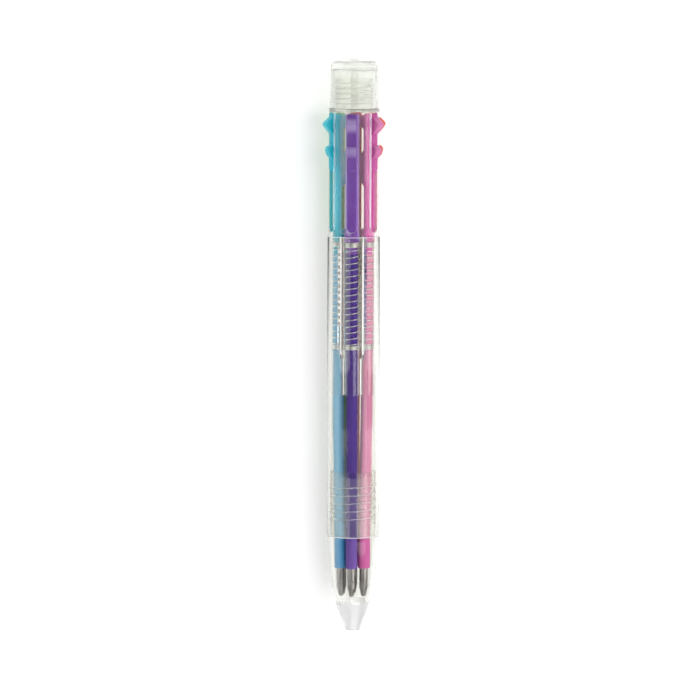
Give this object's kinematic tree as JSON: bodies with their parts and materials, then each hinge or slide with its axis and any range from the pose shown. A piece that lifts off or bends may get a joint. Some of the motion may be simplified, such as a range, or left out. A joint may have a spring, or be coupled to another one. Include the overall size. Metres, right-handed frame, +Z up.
{
  "type": "multicolor click pen",
  "caption": "Clear-barrelled click pen with coloured sliders round the upper barrel, each pushing its own sprung refill down to one writing hole",
  "frame": {"origin": "on the desk, below the middle of the pen's length and axis", "axes": "+Y along the pen from the writing end to the cap, +Z up, +X to the right with the cap away from the viewer"},
  "size_m": [0.0164, 0.144, 0.0154],
  "materials": {
    "clear_plastic": "clear polystyrene, polished",
    "guide_plastic": "clear moulded plastic, bright edges",
    "frosted_plastic": "milky translucent plastic, smooth",
    "purple_plastic": "purple translucent moulded plastic, satin gloss",
    "pink_plastic": "pink translucent moulded plastic, satin gloss",
    "orange_plastic": "orange translucent moulded plastic, satin gloss",
    "red_plastic": "red translucent moulded plastic, satin gloss",
    "green_plastic": "green translucent moulded plastic, satin gloss",
    "cyan_plastic": "cyan translucent moulded plastic, satin gloss",
    "purple_tube": "purple extruded refill tube, smooth",
    "pink_tube": "pink extruded refill tube, smooth",
    "orange_tube": "orange extruded refill tube, smooth",
    "red_tube": "red extruded refill tube, smooth",
    "green_tube": "green extruded refill tube, smooth",
    "cyan_tube": "cyan extruded refill tube, smooth",
    "spring_steel": "bright drawn spring wire",
    "point_metal": "turned nickel silver, satin",
    "ball_metal": "polished ball"
  },
  "bodies": {
    "barrel": {"top_cap": "frosted_plastic", "upper_barrel": "clear_plastic", "lower_barrel": "clear_plastic", "nose_cone": "clear_plastic", "refill_guide": "guide_plastic", "spring_purple": "spring_steel", "spring_pink": "spring_steel", "spring_orange": "spring_steel", "spring_red": "spring_steel", "spring_green": "spring_steel", "spring_cyan": "spring_steel"},
    "slider_purple": {"slider_purple": "purple_plastic", "refill_tube_purple": "purple_tube"},
    "point_purple": {"writing_point_purple": "point_metal", "writing_ball_purple": "ball_metal"},
    "slider_pink": {"slider_pink": "pink_plastic", "refill_tube_pink": "pink_tube"},
    "point_pink": {"writing_point_pink": "point_metal", "writing_ball_pink": "ball_metal"},
    "slider_orange": {"slider_orange": "orange_plastic", "refill_tube_orange": "orange_tube"},
    "point_orange": {"writing_point_orange": "point_metal", "writing_ball_orange": "ball_metal"},
    "slider_red": {"slider_red": "red_plastic", "refill_tube_red": "red_tube"},
    "point_red": {"writing_point_red": "point_metal", "writing_ball_red": "ball_metal"},
    "slider_green": {"slider_green": "green_plastic", "refill_tube_green": "green_tube"},
    "point_green": {"writing_point_green": "point_metal", "writing_ball_green": "ball_metal"},
    "slider_cyan": {"slider_cyan": "cyan_plastic", "refill_tube_cyan": "cyan_tube"},
    "point_cyan": {"writing_point_cyan": "point_metal", "writing_ball_cyan": "ball_metal"}
  },
  "joints": [
    {"name": "click_purple", "type": "slide", "parent": "barrel", "child": "slider_purple", "axis": [0, -1, 0], "range_m": [0, 0.011], "stiffness_N_per_m": 90, "springref_m": -0.006, "deforming": ["spring_purple", "refill_tube_purple", "writing_point_purple", "writing_ball_purple"]},
    {"name": "refill_bend_purple", "type": "hinge", "parent": "slider_purple", "child": "point_purple", "pos_m": [-0.00198, -0.016, 0.01111], "axis": [0.866, 0, 0.5], "range_deg": [0, 3.8]},
    {"name": "click_pink", "type": "slide", "parent": "barrel", "child": "slider_pink", "axis": [0, -1, 0], "range_m": [0, 0.011], "stiffness_N_per_m": 90, "springref_m": -0.006, "deforming": ["spring_pink", "refill_tube_pink", "writing_point_pink", "writing_ball_pink"]},
    {"name": "refill_bend_pink", "type": "hinge", "parent": "slider_pink", "child": "point_pink", "pos_m": [0.00198, -0.016, 0.01111], "axis": [0.866, 0, -0.5], "range_deg": [0, 3.8]},
    {"name": "click_orange", "type": "slide", "parent": "barrel", "child": "slider_orange", "axis": [0, -1, 0], "range_m": [0, 0.011], "stiffness_N_per_m": 90, "springref_m": -0.006, "deforming": ["spring_orange", "refill_tube_orange", "writing_point_orange", "writing_ball_orange"]},
    {"name": "refill_bend_orange", "type": "hinge", "parent": "slider_orange", "child": "point_orange", "pos_m": [0.00395, -0.016, 0.00769], "axis": [0, 0, -1], "range_deg": [0, 3.8]},
    {"name": "click_red", "type": "slide", "parent": "barrel", "child": "slider_red", "axis": [0, -1, 0], "range_m": [0, 0.011], "stiffness_N_per_m": 90, "springref_m": -0.006, "deforming": ["spring_red", "refill_tube_red", "writing_point_red", "writing_ball_red"]},
    {"name": "refill_bend_red", "type": "hinge", "parent": "slider_red", "child": "point_red", "pos_m": [0.00198, -0.016, 0.00427], "axis": [-0.866, 0, -0.5], "range_deg": [0, 3.8]},
    {"name": "click_green", "type": "slide", "parent": "barrel", "child": "slider_green", "axis": [0, -1, 0], "range_m": [0, 0.011], "stiffness_N_per_m": 90, "springref_m": -0.006, "deforming": ["spring_green", "refill_tube_green", "writing_point_green", "writing_ball_green"]},
    {"name": "refill_bend_green", "type": "hinge", "parent": "slider_green", "child": "point_green", "pos_m": [-0.00198, -0.016, 0.00427], "axis": [-0.866, 0, 0.5], "range_deg": [0, 3.8]},
    {"name": "click_cyan", "type": "slide", "parent": "barrel", "child": "slider_cyan", "axis": [0, -1, 0], "range_m": [0, 0.011], "stiffness_N_per_m": 90, "springref_m": -0.006, "deforming": ["spring_cyan", "refill_tube_cyan", "writing_point_cyan", "writing_ball_cyan"]},
    {"name": "refill_bend_cyan", "type": "hinge", "parent": "slider_cyan", "child": "point_cyan", "pos_m": [-0.00395, -0.016, 0.00769], "axis": [0, 0, 1], "range_deg": [0, 3.8]}
  ],
  "couplings": [
    {"joint": "refill_bend_purple", "follows": "click_purple", "rad_per_m": 5.9786},
    {"joint": "refill_bend_pink", "follows": "click_pink", "rad_per_m": 5.9786},
    {"joint": "refill_bend_orange", "follows": "click_orange", "rad_per_m": 5.9786},
    {"joint": "refill_bend_red", "follows": "click_red", "rad_per_m": 5.9786},
    {"joint": "refill_bend_green", "follows": "click_green", "rad_per_m": 5.9786},
    {"joint": "refill_bend_cyan", "follows": "click_cyan", "rad_per_m": 5.9786}
  ]
}
